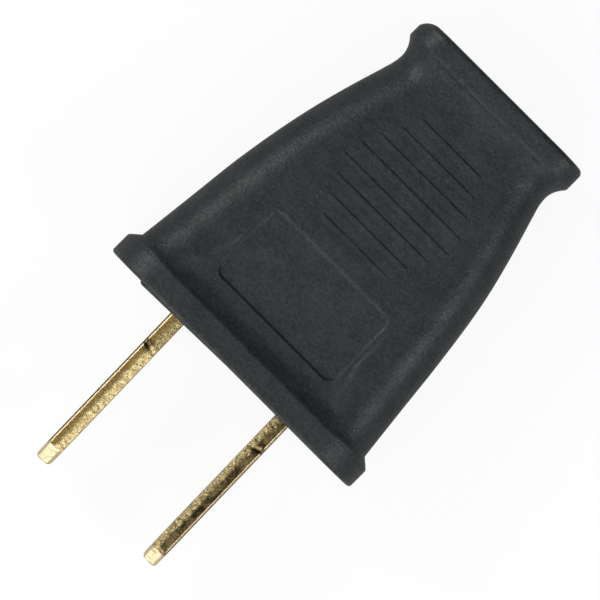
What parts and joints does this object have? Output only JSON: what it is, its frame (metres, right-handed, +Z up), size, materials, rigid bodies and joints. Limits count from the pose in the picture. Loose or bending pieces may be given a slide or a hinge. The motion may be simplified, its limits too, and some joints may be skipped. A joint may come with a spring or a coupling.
{
  "type": "two-prong plug",
  "caption": "Flat two-blade mains plug wired without tools: a soft flared cover over a pull-out core that holds the brass blades.",
  "frame": {"origin": "middle of the cover's front face, midway between the two blades", "axes": "+X across the blades, -Y the way the blades point, +Y towards the cord end, +Z up, normal to the broad face with the panel"},
  "size_m": [0.0292, 0.0508, 0.013],
  "materials": {
    "cover_vinyl": "soft moulded vinyl, charcoal, fine satin grain",
    "core_plastic": "hard moulded nylon, black, half matt",
    "blade_brass": "stamped brass, bright faces and sheared edges"
  },
  "bodies": {
    "cover_body": {"cover": "cover_vinyl"},
    "core_body": {"core": "core_plastic", "blade_left": "blade_brass", "blade_right": "blade_brass"}
  },
  "joints": [
    {"name": "core_pull", "type": "slide", "parent": "cover_body", "child": "core_body", "axis": [0, -1, 0], "range_m": [0, 0.026]}
  ]
}
